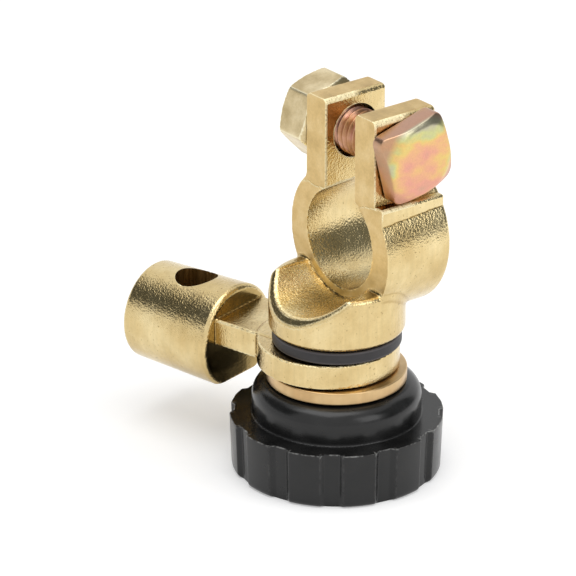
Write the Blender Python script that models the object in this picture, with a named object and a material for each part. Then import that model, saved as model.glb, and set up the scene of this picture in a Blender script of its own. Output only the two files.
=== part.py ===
"""Battery terminal disconnect switch.

A cast brass post clamp stands upside down on its black knob, as it is shown
for sale. The knob carries a brass insert that runs on a stud fixed in the
clamp. Turned tight, it presses a brass contact disc on the cable lug, which
an insulating bush keeps away from the clamp.

Frame: +Z up along the knob's axis, the origin in the middle of the knob's
outer face, +X along the clamp bolt towards its square head, and +Y along the
post hole, away from the scoop.
"""

import math

import bmesh
import bpy

MM = 0.001

# Clearances
SEAT_GAP = 0.3 * MM
THREAD_GAP = 0.3 * MM
SWIVEL_GAP = 0.3 * MM

# Knob: a round hub on a fluted flange
KNOB_RADIUS = 17.8 * MM
KNOB_DRAFT = 0.3 * MM
FLANGE_HEIGHT = 9.58 * MM
FLUTE_COUNT = 12
FLUTE_DEPTH = 0.75 * MM
FLUTE_HALF_ANGLE = math.radians(6.0)
FLUTE_SIDE_ANGLE = math.radians(1.5)
FLUTE_TURN = math.radians(-11.0)
FLANGE_CHAMFER = 0.85 * MM
HUB_RADIUS = 14.1 * MM
HUB_HEIGHT = 5.9 * MM
HUB_ROUNDING = 2.8 * MM

# Brass insert moulded into the knob, with a tapped blind hole
INSERT_ACROSS_FLATS = 15.0 * MM
INSERT_HEIGHT = 11.5 * MM
INSERT_FLOOR = 1.5 * MM

# Stud of the clamp, M8
STUD_RADIUS = 4.0 * MM
STUD_TIP_CHAMFER = 0.7 * MM
STUD_TIP_CLEARANCE = 0.7 * MM
STUD_DEPTH_IN_BASE = 4.0 * MM

# Contact disc, turned brass
DISC_RADIUS = 11.65 * MM
DISC_THICKNESS = 2.15 * MM
DISC_CHAMFER = 0.2 * MM

# Cable lug, cast brass: ring, neck and barrel
LUG_RING_RADIUS = 11.85 * MM
LUG_RING_SHIFT = 1.75 * MM
LUG_THICKNESS = 4.1 * MM
LUG_EDGE = 0.35 * MM
LUG_HEADING = math.radians(-166.2)
NECK_WIDTH = 12.5 * MM
NECK_FOOT_START = 12.2 * MM
NECK_FOOT_DEPTH = 0.25 * MM
BARREL_RADIUS = 9.05 * MM
BARREL_MOUTH_RADIUS = 8.5 * MM
BARREL_START = 20.8 * MM
BARREL_LENGTH = 18.4 * MM
BARREL_DROP = 3.17 * MM
BARREL_FLAT_BELOW_AXIS = 7.33 * MM
BARREL_CHAMFER = 0.8 * MM
CABLE_BORE_RADIUS = 5.2 * MM
CABLE_BORE_DEPTH = 14.5 * MM
BORE_CHAMFER = 0.5 * MM
SIGHT_HOLE_RADIUS = 3.65 * MM
SIGHT_HOLE_FROM_START = 9.1 * MM

# Insulating bush: a flange between lug and clamp, and a sleeve in the lug
BUSH_FLANGE_RADIUS = 10.73 * MM
BUSH_FLANGE_THICKNESS = 2.1 * MM
BUSH_EDGE = 0.3 * MM
SLEEVE_WALL = 1.9 * MM

# Clamp body, cast brass: base, ring, ears and ledge
BASE_RADIUS = 11.3 * MM
BASE_HEIGHT = 8.9 * MM
BASE_EDGE = 0.9 * MM
BASE_TOP_EDGE = 0.85 * MM
POST_AXIS_ABOVE_BASE = 15.24 * MM
POST_HOLE_RADIUS = 8.5 * MM
POST_TAPER = 1.0 / 18.0
RING_WALL = 4.1 * MM
RING_DRAFT = 0.53 * MM
RING_DROP = 0.6 * MM
RING_WIDTH = 12.9 * MM
RING_FRONT = 0.36 * MM
SCOOP_FRONT_RADIUS = 10.0 * MM
SCOOP_SPREAD = 0.07
SCOOP_FILLET = 1.25 * MM
EAR_GAP = 7.64 * MM
EAR_THICKNESS = 4.97 * MM
EAR_TOP_ABOVE_POST = 23.06 * MM
EAR_ROUNDING = 1.0 * MM
CAST_EDGE = 0.7 * MM
LEDGE_ABOVE_POST = 8.46 * MM
LEDGE_WIDTH = 2.2 * MM
LEDGE_ROUNDING = 0.5 * MM
LEDGE_DRAFT = 0.36 * MM
SHOULDER_ANGLE = math.radians(26.0)

# Clamp bolt, M8 with a square head, and its nut
BOLT_RADIUS = 4.0 * MM
BOLT_LENGTH = 25.0 * MM
BOLT_TIP_CHAMFER = 0.7 * MM
BOLT_HOLE_GAP = 0.6 * MM
BOLT_ABOVE_POST = 16.36 * MM
BOLT_FROM_FRONT = 6.5 * MM
HEAD_ACROSS_FLATS = 12.2 * MM
HEAD_CORNER_RADIUS = 1.4 * MM
HEAD_THICKNESS = 4.2 * MM
HEAD_FACE_RADIUS = 5.6 * MM
HEAD_CROWN = 0.2 * MM
HEAD_TURN = math.radians(15.0)
NUT_ACROSS_FLATS = 13.0 * MM
NUT_THICKNESS = 6.5 * MM
NUT_CHAMFER = 0.5 * MM
NUT_FACE_RADIUS = 6.2 * MM
NUT_TURN = math.radians(13.4)
CORNER_SLOPE = math.tan(math.radians(30.0))

# Facets around each round form
KNOB_FACETS = 20 * FLUTE_COUNT
ROUND_FACETS = 72
SMALL_FACETS = 48

# Heights and places that follow
HUB_TOP = FLANGE_HEIGHT + HUB_HEIGHT
DISC_BOTTOM = HUB_TOP + SEAT_GAP
DISC_TOP = DISC_BOTTOM + DISC_THICKNESS
LUG_BOTTOM = DISC_TOP + SEAT_GAP
LUG_TOP = LUG_BOTTOM + LUG_THICKNESS
BUSH_BOTTOM = LUG_TOP + SEAT_GAP
BUSH_TOP = BUSH_BOTTOM + BUSH_FLANGE_THICKNESS
BASE_BOTTOM = BUSH_TOP + SEAT_GAP
BASE_TOP = BASE_BOTTOM + BASE_HEIGHT
INSERT_BOTTOM = HUB_TOP - INSERT_HEIGHT
STUD_BOTTOM = INSERT_BOTTOM + INSERT_FLOOR + STUD_TIP_CLEARANCE
STUD_TOP = BASE_BOTTOM + STUD_DEPTH_IN_BASE
STUD_BORE = STUD_RADIUS + THREAD_GAP
SLEEVE_RADIUS = STUD_BORE + SLEEVE_WALL
LUG_HOLE_RADIUS = SLEEVE_RADIUS + SWIVEL_GAP
POST_AXIS = BASE_BOTTOM + POST_AXIS_ABOVE_BASE
RING_RADIUS = POST_HOLE_RADIUS + RING_WALL
RING_BACK = RING_FRONT + RING_WIDTH
BOLT_MIDDLE = RING_FRONT + BOLT_FROM_FRONT
EAR_INNER = EAR_GAP / 2
EAR_OUTER = EAR_INNER + EAR_THICKNESS
BOLT_AXIS = POST_AXIS + BOLT_ABOVE_POST
HEAD_SEAT = EAR_OUTER + SEAT_GAP
PAST = 2.0 * MM


def circle(radius):
    """Radius at each angle of a circle."""
    return lambda angle: radius


def hexagon(across_flats):
    """Radius at each angle of a hexagon with a corner at angle 0."""
    sector = math.pi / 3

    def radius(angle):
        return across_flats / 2 / math.cos(angle % sector - sector / 2)

    return radius


def rounded_square(across_flats, corner):
    """Radius at each angle of a square with rounded corners and a flat at 0."""
    half = across_flats / 2
    reach = (half - corner) * math.sqrt(2)

    def radius(angle):
        off = abs((angle + math.pi / 4) % (math.pi / 2) - math.pi / 4)
        if half * math.tan(off) <= half - corner:
            return half / math.cos(off)
        lean = math.pi / 4 - off
        return reach * math.cos(lean) + math.sqrt(corner**2 - (reach * math.sin(lean)) ** 2)

    return radius


def fluted(radius, depth):
    """Radius at each angle of the flange, a groove at every twelfth of a turn."""
    pitch = 2 * math.pi / FLUTE_COUNT

    def at(angle):
        off = abs((angle + pitch / 2) % pitch - pitch / 2)
        share = (FLUTE_HALF_ANGLE - off) / FLUTE_SIDE_ANGLE
        return radius - depth * min(1.0, max(0.0, share))

    return at


def material(name, colour, roughness, metallic):
    """A Principled material in one colour."""
    made = bpy.data.materials.new(name)
    made.use_nodes = True
    shader = made.node_tree.nodes["Principled BSDF"]
    shader.inputs["Base Color"].default_value = (*colour, 1.0)
    shader.inputs["Roughness"].default_value = roughness
    shader.inputs["Metallic"].default_value = metallic
    return made


def finish(bm, name, finish_material, place=(0.0, 0.0, 0.0)):
    """Turn a bmesh into a named object with outward faces and smooth rounds."""
    bmesh.ops.recalc_face_normals(bm, faces=bm.faces)
    mesh = bpy.data.meshes.new(name)
    bm.to_mesh(mesh)
    bm.free()
    mesh.shade_smooth()
    mesh.set_sharp_from_angle(angle=math.radians(25))
    if finish_material:
        mesh.materials.append(finish_material)
    made = bpy.data.objects.new(name, mesh)
    made.location = place
    bpy.context.scene.collection.objects.link(made)
    return made


def along(axis, a, b, height):
    """A point of a turned form, its height carried by the named axis."""
    if axis == "X":
        return (height, a, b)
    if axis == "Y":
        return (b, height, a)
    return (a, b, height)


def turned(name, profile, finish_material=None, axis="Z", facets=ROUND_FACETS,
           turn=0.0, bored=False, place=(0.0, 0.0, 0.0)):
    """A solid of rings along an axis.

    Each profile entry is a radius, or a radius for each angle, and a height.
    A bored profile closes on itself, and any other ends in two flat caps.
    """
    bm = bmesh.new()
    rings = []
    for radius, height in profile:
        shape = radius if callable(radius) else circle(radius)
        ring = []
        for i in range(facets):
            angle = 2 * math.pi * i / facets
            reach = shape(angle)
            a = reach * math.cos(angle + turn)
            b = reach * math.sin(angle + turn)
            ring.append(bm.verts.new(along(axis, a, b, height)))
        rings.append(ring)
    pairs = list(zip(rings, rings[1:]))
    if bored:
        pairs.append((rings[-1], rings[0]))
    else:
        bm.faces.new(rings[0])
        bm.faces.new(rings[-1])
    for low, high in pairs:
        for i in range(facets):
            j = (i + 1) % facets
            bm.faces.new((low[i], low[j], high[j], high[i]))
    return finish(bm, name, finish_material, place)


def arc(centre, radius, start, end, steps):
    """Points of an arc in the drawing plane, both ends included."""
    points = []
    for i in range(steps + 1):
        angle = start + (end - start) * i / steps
        points.append((centre[0] + radius * math.cos(angle),
                       centre[1] + radius * math.sin(angle)))
    return points


def prism(outline, axis, low, high, edge, far_outline=None):
    """A bmesh of an outline drawn across an axis and carried along it.

    The far end may have its own outline of as many points. The edges of both
    end faces are rounded by the given sizes.
    """
    bm = bmesh.new()
    ends = []
    for points, height in ((outline, low), (far_outline or outline, high)):
        if axis == "Y":
            ends.append([bm.verts.new((a, height, b)) for a, b in points])
        else:
            ends.append([bm.verts.new((a, b, height)) for a, b in points])
        bm.faces.new(ends[-1])
    near, far = ends
    for i in range(len(near)):
        j = (i + 1) % len(near)
        bm.faces.new((near[i], near[j], far[j], far[i]))
    for ring, size in ((set(near), edge[0]), (set(far), edge[1])):
        if size:
            rim = [e for e in bm.edges if e.is_valid and all(v in ring for v in e.verts)]
            bmesh.ops.bevel(bm, geom=rim, offset=size, segments=2, profile=0.5,
                            affect="EDGES", clamp_overlap=True)
    return bm


def combine(target, other, operation):
    """Join or cut a target with a hidden helper solid."""
    other.hide_render = True
    other.display_type = "WIRE"
    modifier = target.modifiers.new(other.name, "BOOLEAN")
    modifier.operation = operation
    modifier.solver = "EXACT"
    modifier.object = other


def make_knob(plastic):
    """Moulded knob: fluted flange, hub with a rounded shoulder, insert pocket."""
    pocket = hexagon(INSERT_ACROSS_FLATS + 2 * SEAT_GAP)
    foot = KNOB_RADIUS - KNOB_DRAFT
    profile = [
        (foot - FLANGE_CHAMFER, 0.0),
        (fluted(foot, FLUTE_DEPTH), FLANGE_CHAMFER),
        (fluted(KNOB_RADIUS, FLUTE_DEPTH), FLANGE_HEIGHT),
        (HUB_RADIUS, FLANGE_HEIGHT),
    ]
    shoulder = arc((HUB_RADIUS - HUB_ROUNDING, HUB_TOP - HUB_ROUNDING), HUB_ROUNDING,
                   0.0, math.pi / 2, 5)
    profile += shoulder
    profile += [(pocket, HUB_TOP), (pocket, INSERT_BOTTOM - SEAT_GAP)]
    return turned("knob", profile, plastic, facets=KNOB_FACETS, turn=FLUTE_TURN)


def make_insert(brass):
    """Hexagonal brass insert with a tapped blind hole, open at the top."""
    outside = hexagon(INSERT_ACROSS_FLATS)
    profile = [
        (outside, INSERT_BOTTOM),
        (outside, HUB_TOP),
        (STUD_BORE, HUB_TOP),
        (STUD_BORE, INSERT_BOTTOM + INSERT_FLOOR),
    ]
    return turned("knob_insert", profile, brass, facets=SMALL_FACETS, turn=FLUTE_TURN)


def make_stud(brass):
    """Stud fixed in the clamp's base, reaching down into the insert."""
    tip = STUD_RADIUS - STUD_TIP_CHAMFER
    profile = [
        (tip, STUD_BOTTOM),
        (STUD_RADIUS, STUD_BOTTOM + STUD_TIP_CHAMFER),
        (STUD_RADIUS, STUD_TOP - STUD_TIP_CHAMFER),
        (tip, STUD_TOP),
    ]
    return turned("knob_stud", profile, brass, facets=SMALL_FACETS)


def make_disc(brass):
    """Turned contact disc with broken edges."""
    c = DISC_CHAMFER
    profile = [
        (STUD_BORE, DISC_BOTTOM),
        (DISC_RADIUS - c, DISC_BOTTOM),
        (DISC_RADIUS, DISC_BOTTOM + c),
        (DISC_RADIUS, DISC_TOP - c),
        (DISC_RADIUS - c, DISC_TOP),
        (STUD_BORE, DISC_TOP),
    ]
    return turned("contact_disc", profile, brass, bored=True)


def make_bush(rubbery):
    """Insulating bush: its flange spaces the clamp, its sleeve centres the lug."""
    e = BUSH_EDGE
    profile = [
        (STUD_BORE, LUG_BOTTOM + SEAT_GAP),
        (SLEEVE_RADIUS, LUG_BOTTOM + SEAT_GAP),
        (SLEEVE_RADIUS, BUSH_BOTTOM),
        (BUSH_FLANGE_RADIUS - e, BUSH_BOTTOM),
        (BUSH_FLANGE_RADIUS, BUSH_BOTTOM + e),
        (BUSH_FLANGE_RADIUS, BUSH_TOP - e),
        (BUSH_FLANGE_RADIUS - e, BUSH_TOP),
        (STUD_BORE, BUSH_TOP),
    ]
    return turned("insulating_bush", profile, rubbery, bored=True)


def make_lug(brass):
    """Cast cable lug, drawn along +X and turned to its heading."""
    half = NECK_WIDTH / 2
    meet = math.asin(half / LUG_RING_RADIUS)
    outline = arc((LUG_RING_SHIFT, 0.0), LUG_RING_RADIUS, meet, 2 * math.pi - meet, 56)
    neck_end = BARREL_START + BARREL_CHAMFER + PAST / 2
    outline += [(neck_end, -half), (neck_end, half)]
    bm = prism(outline, "Z", LUG_BOTTOM - NECK_FOOT_DEPTH, LUG_TOP, (LUG_EDGE, LUG_EDGE))
    lug = finish(bm, "cable_lug", brass)
    wide = LUG_RING_RADIUS + PAST
    relief_outline = [(-wide, -wide), (NECK_FOOT_START, -wide),
                      (NECK_FOOT_START, wide), (-wide, wide)]
    relief = finish(prism(relief_outline, "Z", LUG_BOTTOM - PAST, LUG_BOTTOM, (0.0, 0.0)),
                    "lug_ring_relief", None)

    barrel_axis = (0.0, 0.0, (LUG_BOTTOM + LUG_TOP) / 2 - BARREL_DROP)
    barrel_end = BARREL_START + BARREL_LENGTH
    c = BARREL_CHAMFER
    barrel = turned("lug_barrel_form", [
        (BARREL_RADIUS - c, BARREL_START),
        (BARREL_RADIUS, BARREL_START + c),
        (BARREL_MOUTH_RADIUS, barrel_end - c / 2),
        (BARREL_MOUTH_RADIUS - c / 2, barrel_end),
    ], axis="X", place=barrel_axis)
    flat_outline = [(BARREL_START - PAST, -BARREL_RADIUS), (barrel_end + PAST, -BARREL_RADIUS),
                    (barrel_end + PAST, BARREL_RADIUS), (BARREL_START - PAST, BARREL_RADIUS)]
    flat_top = barrel_axis[2] - BARREL_FLAT_BELOW_AXIS
    flat = finish(prism(flat_outline, "Z", flat_top - 2 * PAST, flat_top, (0.0, 0.0)),
                  "lug_barrel_flat", None)
    hole = turned("lug_ring_hole", [
        (LUG_HOLE_RADIUS, LUG_BOTTOM - PAST),
        (LUG_HOLE_RADIUS, LUG_TOP + PAST),
    ])
    bore = turned("lug_cable_bore", [
        (CABLE_BORE_RADIUS, barrel_end - CABLE_BORE_DEPTH),
        (CABLE_BORE_RADIUS, barrel_end - BORE_CHAMFER),
        (CABLE_BORE_RADIUS + BORE_CHAMFER + PAST, barrel_end + PAST),
    ], axis="X", facets=SMALL_FACETS, place=barrel_axis)
    sight_x = BARREL_START + SIGHT_HOLE_FROM_START
    sight = turned("lug_sight_hole", [
        (SIGHT_HOLE_RADIUS, 0.0),
        (SIGHT_HOLE_RADIUS, BARREL_RADIUS + PAST),
    ], facets=SMALL_FACETS, place=(sight_x, 0.0, barrel_axis[2]))
    combine(barrel, bore, "DIFFERENCE")
    combine(barrel, sight, "DIFFERENCE")
    combine(barrel, flat, "DIFFERENCE")
    combine(lug, hole, "DIFFERENCE")
    combine(lug, relief, "DIFFERENCE")
    combine(lug, barrel, "UNION")
    for part in (barrel, hole, bore, sight, flat, relief):
        part.parent = lug
    lug.rotation_euler.z = LUG_HEADING
    return lug


def clamp_outline(ring_radius, ring_drop, ledge_end):
    """Outline of ring, ears, ledge and slot, across the post axis.

    It runs round the ring from the sloping shoulder on the nut's side to the
    ledge's upright wall on the bolt head's side, then over both ears and the
    slot. The ring's centre lies below the post axis by the given drop.
    """
    ear_top = POST_AXIS + EAR_TOP_ABOVE_POST
    ledge = POST_AXIS + LEDGE_ABOVE_POST
    wall_foot = math.acos(ledge_end / ring_radius)
    slot_bottom = POST_AXIS + POST_HOLE_RADIUS / 2
    lr = LEDGE_ROUNDING
    er = EAR_ROUNDING
    quarter = math.pi / 2
    points = [(-EAR_OUTER, ledge)]
    points += arc((0.0, POST_AXIS - ring_drop), ring_radius, math.pi - SHOULDER_ANGLE,
                  2 * math.pi + wall_foot, 54)
    points += arc((ledge_end - lr, ledge - lr), lr, 0.0, quarter, 3)
    points += [(EAR_OUTER, ledge)]
    points += arc((EAR_OUTER - er, ear_top - er), er, 0.0, quarter, 3)
    points += arc((EAR_INNER + er, ear_top - er), er, quarter, 2 * quarter, 3)
    points += [(EAR_INNER, slot_bottom), (-EAR_INNER, slot_bottom)]
    points += arc((-EAR_INNER - er, ear_top - er), er, 0.0, quarter, 3)
    points += arc((-EAR_OUTER + er, ear_top - er), er, quarter, 2 * quarter, 3)
    return points


def make_clamp(brass):
    """Cast clamp: a round base under a split ring with two ears."""
    e = BASE_EDGE
    profile = arc((BASE_RADIUS - e, BASE_BOTTOM + e), e, -math.pi / 2, 0.0, 3)
    e = BASE_TOP_EDGE
    profile += arc((BASE_RADIUS - e, BASE_TOP - e), e, 0.0, math.pi / 2, 3)
    body = turned("clamp_body", profile, brass)
    ledge_end = EAR_OUTER + LEDGE_WIDTH
    front = clamp_outline(RING_RADIUS, RING_DROP, ledge_end)
    back = clamp_outline(RING_RADIUS + RING_DRAFT, 0.0, ledge_end + LEDGE_DRAFT)
    bm = prism(front, "Y", RING_FRONT, RING_BACK, (0.0, CAST_EDGE), back)
    ring = finish(bm, "clamp_ring_form", None)

    hole_end = RING_BACK + PAST
    post = turned("clamp_post_hole", [
        (POST_HOLE_RADIUS - POST_TAPER * PAST, RING_FRONT - PAST),
        (POST_HOLE_RADIUS + POST_TAPER * (hole_end - RING_FRONT), hole_end),
    ], axis="Y", place=(0.0, 0.0, POST_AXIS))
    scoop_end = -BASE_RADIUS - PAST
    f = SCOOP_FILLET
    scoop_profile = [(SCOOP_FRONT_RADIUS + SCOOP_SPREAD * (RING_FRONT - scoop_end), scoop_end)]
    scoop_profile += arc((SCOOP_FRONT_RADIUS - f, RING_FRONT - f), f, 0.0, math.pi / 2, 4)
    scoop = turned("clamp_scoop", scoop_profile, axis="Y", place=(0.0, 0.0, POST_AXIS))
    bolt_reach = EAR_OUTER + PAST
    bolt_hole = turned("clamp_bolt_hole", [
        (BOLT_RADIUS + BOLT_HOLE_GAP, -bolt_reach),
        (BOLT_RADIUS + BOLT_HOLE_GAP, bolt_reach),
    ], axis="X", facets=SMALL_FACETS, place=(0.0, BOLT_MIDDLE, BOLT_AXIS))
    stud_hole = turned("clamp_stud_hole", [
        (STUD_BORE, BASE_BOTTOM - PAST),
        (STUD_BORE, STUD_TOP + SEAT_GAP),
    ], facets=SMALL_FACETS)
    combine(body, ring, "UNION")
    combine(body, scoop, "DIFFERENCE")
    combine(body, post, "DIFFERENCE")
    combine(body, bolt_hole, "DIFFERENCE")
    combine(body, stud_hole, "DIFFERENCE")
    return body


def turned_down(corners, limit):
    """An outline with its corners cut back to a circle."""
    return lambda angle: min(limit, corners(angle))


def corner_cone(corners, narrowest, flat_angle, corner_angle):
    """Outlines and depths of the cone that takes the corners off a face."""
    flat = corners(flat_angle)
    corner = corners(corner_angle)
    limits = (narrowest, flat, (flat + corner) / 2, corner)
    return [(turned_down(corners, r), (r - narrowest) * CORNER_SLOPE) for r in limits]


def make_bolt(steel):
    """Square-head bolt; its head keeps clear of the ledge when it is turned."""
    square = rounded_square(HEAD_ACROSS_FLATS, HEAD_CORNER_RADIUS)
    tip = HEAD_SEAT - BOLT_LENGTH
    head_face = HEAD_SEAT + HEAD_THICKNESS
    cone = corner_cone(square, HEAD_FACE_RADIUS, 0.0, math.pi / 4)
    profile = [
        (BOLT_RADIUS - BOLT_TIP_CHAMFER, tip),
        (BOLT_RADIUS, tip + BOLT_TIP_CHAMFER),
        (BOLT_RADIUS, HEAD_SEAT),
        (square, HEAD_SEAT),
    ]
    profile += [(shape, head_face - HEAD_CROWN - depth) for shape, depth in reversed(cone)]
    profile += [(HEAD_FACE_RADIUS / 2, head_face)]
    return turned("clamp_bolt", profile, steel, axis="X", facets=SMALL_FACETS,
                  turn=HEAD_TURN, place=(0.0, BOLT_MIDDLE, BOLT_AXIS))


def make_nut(brass):
    """Hexagonal nut, the corners of both faces turned down to a cone."""
    bore = BOLT_RADIUS + THREAD_GAP
    corners = hexagon(NUT_ACROSS_FLATS)
    inner = -HEAD_SEAT
    outer = inner - NUT_THICKNESS
    c = NUT_CHAMFER
    sides = corner_cone(corners, NUT_FACE_RADIUS, math.pi / 6, 0.0)
    profile = [(bore + c, outer)]
    profile += [(shape, outer + depth) for shape, depth in sides]
    profile += [(shape, inner - depth) for shape, depth in reversed(sides)]
    profile += [(bore + c, inner), (bore, inner - c), (bore, outer + c)]
    return turned("clamp_nut", profile, brass, axis="X", facets=SMALL_FACETS,
                  turn=NUT_TURN, bored=True, place=(0.0, BOLT_MIDDLE, BOLT_AXIS))


def main():
    for old in list(bpy.data.objects):
        bpy.data.objects.remove(old, do_unlink=True)
    cast_brass = material("cast_brass", (0.72, 0.56, 0.28), 0.35, 1.0)
    turned_brass = material("turned_brass", (0.63, 0.44, 0.25), 0.3, 1.0)
    nut_brass = material("plated_nut", (0.68, 0.61, 0.42), 0.35, 1.0)
    zinc_steel = material("yellow_zinc_steel", (0.75, 0.58, 0.42), 0.3, 1.0)
    black_plastic = material("black_plastic", (0.015, 0.015, 0.015), 0.4, 0.0)
    black_insulator = material("black_insulator", (0.03, 0.028, 0.03), 0.5, 0.0)
    make_clamp(cast_brass)
    make_stud(turned_brass)
    make_bolt(zinc_steel)
    make_nut(nut_brass)
    make_bush(black_insulator)
    make_lug(cast_brass)
    make_disc(turned_brass)
    make_insert(turned_brass)
    make_knob(black_plastic)


main()
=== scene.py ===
"""Battery terminal disconnect switch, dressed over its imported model.

Lengths in the shape functions are in millimetres, in the model's frame: +Z up
along the knob's axis, +X along the clamp bolt, +Y along the post hole.
"""

import math

import bpy
import numpy as np
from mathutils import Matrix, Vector


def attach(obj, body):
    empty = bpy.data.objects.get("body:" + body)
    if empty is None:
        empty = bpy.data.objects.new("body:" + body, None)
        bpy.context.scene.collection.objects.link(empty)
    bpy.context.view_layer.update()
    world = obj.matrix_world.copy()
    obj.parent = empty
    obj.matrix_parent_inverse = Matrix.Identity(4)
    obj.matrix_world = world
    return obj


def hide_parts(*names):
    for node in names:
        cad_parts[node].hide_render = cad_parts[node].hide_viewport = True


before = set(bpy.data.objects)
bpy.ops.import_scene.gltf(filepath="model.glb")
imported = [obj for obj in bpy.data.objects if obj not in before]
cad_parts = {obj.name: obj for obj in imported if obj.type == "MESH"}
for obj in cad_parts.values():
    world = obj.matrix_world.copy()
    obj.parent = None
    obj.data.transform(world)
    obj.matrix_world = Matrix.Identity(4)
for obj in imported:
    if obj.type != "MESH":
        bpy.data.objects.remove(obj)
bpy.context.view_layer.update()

MM = 0.001
TAU = 2 * np.pi

# Gap between pieces that turn or slide on each other
RUNNING_GAP = 0.3

# Heights up the knob's axis
FLANGE_TOP = 9.58
HUB_TOP = 15.48
DISC_BOTTOM = 15.78
DISC_TOP = 17.93
LUG_BOTTOM = 18.23
LUG_TOP = 22.33
BUSH_BOTTOM = 22.63
BUSH_TOP = 24.73
BASE_BOTTOM = 25.03
BASE_TOP = 33.93
POST_AXIS = 40.27
BOLT_AXIS = 56.63
EAR_TOP = 63.33

# Clamp's ring, base and scoop
RING_FRONT = 0.36
RING_BACK = 13.26
RING_RADIUS = 12.6
RING_DRAFT = 0.53
RING_DROP = 0.6
POST_RADIUS = 8.5
POST_TAPER = 1 / 18
BASE_RADIUS = 11.3
BASE_EDGE = 0.9
BASE_TOP_EDGE = 0.85
BASE_TOP_SOFTENING = 1.0
SCOOP_RADIUS = 10.0
SCOOP_DRAFT = 0.07
SCOOP_SPREAD = 0.018
SCOOP_BEVEL = 1.15
SCOOP_BEVEL_LOSS = 0.35
SCOOP_TOP_EDGE = 0.45
SCOOP_FILLET = 0.35
RIM_EDGE = 0.35
BEVEL_EDGE = 0.3
POST_EDGE = 0.2

# Clamp's ears, ledge and shoulder
EAR_INNER = 3.82
EAR_OUTER = 8.79
EAR_ROUNDING = 0.95
EAR_FILLET = 0.35
LEDGE_END = 10.99
LEDGE_DRAFT = 0.36
LEDGE_TOP = 48.73
LEDGE_ROUNDING = 0.55
SHOULDER_ANGLE = math.radians(26.0)
SLOT_BOTTOM = 44.52
SLOT_EDGE = 0.85
BACK_EDGE = 0.8
MILLED_EDGE = 0.12

# Where the ears' front faces are set back from the ring's, from left to right
EAR_FOOT_X = (-10.4, -8.25, -6.4, -4.0, 4.3, 6.1, 8.7, 11.4)
EAR_FOOT_Z = (47.2, 47.9, 47.6, 48.0, 47.1, 48.0, 48.5, 48.7)
EAR_FOOT_HALF = 0.15
EAR_SET_BACK = 0.1

# Clamp bolt, its nut and the M8 threads
M8_RADIUS = 4.0
M8_PITCH = 1.25
THREAD_DEPTH = 0.72
THREAD_RUN_OUT = 0.8
BOLT_MIDDLE = 6.86
BOLT_HOLE_RADIUS = 4.6
BOLT_LENGTH = 25.0
TIP_CHAMFER = 0.75
TIP_RADIUS = 3.25
SHANK_RADIUS = 3.9
HEAD_SEAT = 9.09
HEAD_ACROSS = 12.2
HEAD_CORNER = 1.4
HEAD_THICKNESS = 4.0
HEAD_FACE_RADIUS = 5.6
HEAD_CROWN = 0.2
HEAD_TURN = math.radians(15.0)
NUT_ACROSS = 13.0
NUT_THICKNESS = 6.5
NUT_FACE_RADIUS = 6.2
NUT_CORNER_RADIUS = 7.3
NUT_BLUNTING = 0.12
NUT_BORE_CHAMFER = 0.5
NUT_TURN = math.radians(13.4)
CHAMFER_SLOPE = math.radians(30.0)

# Lug, its places measured from the knob's axis along its heading
LUG_HEADING = math.radians(-166.2)
LUG_RING_SHIFT = 1.75
LUG_RING_RADIUS = 11.85
LUG_HOLE_RADIUS = 6.5
NECK_HALF_WIDTH = 6.25
NECK_FOOT_START = 12.2
NECK_FOOT_DEPTH = 0.45
NECK_END = 24.0
BARREL_AXIS = 17.11
BARREL_START = 20.8
BARREL_END = 39.2
BARREL_RADIUS = 9.05
BARREL_TAPER = 0.55
BARREL_FLAT = 7.33
BARREL_START_EDGE = 0.95
BARREL_END_EDGE = 0.5
LUG_TOP_EDGE = 0.35
LUG_UNDER_EDGE = 0.3
NECK_TOP_EDGE = 0.4
NECK_FILLET = 0.4
BARREL_FILLET = 0.3
CABLE_BORE_RADIUS = 5.2
CABLE_BORE_DEPTH = 14.5
CABLE_MOUTH_RADIUS = 5.7
SIGHT_HOLE_PLACE = 29.9
SIGHT_HOLE_RADIUS = 3.65

# Knob
KNOB_FACE_RADIUS = 16.65
KNOB_FOOT_RADIUS = 17.5
KNOB_FOOT_EDGE = 0.9
KNOB_DRAFT = 0.3
KNOB_TURN = math.radians(-11.0)
FLUTES = 12
FLUTE_DEPTH = 0.75
FLUTE_HALF_ANGLE = 6.7
FLOOR_HALF_ANGLE = 3.3
FLASH = 0.07
HUB_RADIUS = 14.1
HUB_FILLET = 0.25
HUB_ROUNDING = 2.8
POCKET_ACROSS = 15.6
POCKET_FLOOR = 3.7

# Radii of rows that only keep the knob's flats evenly shaded
SUPPORT_RADII = (16.2, 15.0)

# Contact disc, insulating bush and stud
STUD_BORE = 4.3
STUD_BOTTOM = 6.2
STUD_TOP = 29.03
STUD_TIP_RADIUS = 3.3
STUD_THREAD_START = 7.0
STUD_THREAD_END = 28.4
DISC_RADIUS = 11.65
DISC_EDGE = 0.25
BUSH_RADIUS = 10.73
BUSH_EDGE = 0.3
SLEEVE_RADIUS = 6.2

# Bend, in radians a millimetre, at which a point counts as wholly on an edge
EDGE_BEND = 1.6

# Radius at which a turned surface closes on its axis
POLE = 0.05

# Size of a grid cell of the castings
CELL = 0.27

# Least share of a face's direction that lies along a way that it faces
FACING = 0.97

# Distance within which a face counts as lying on a plane
CLOSE = 0.2


# Meshes

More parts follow.
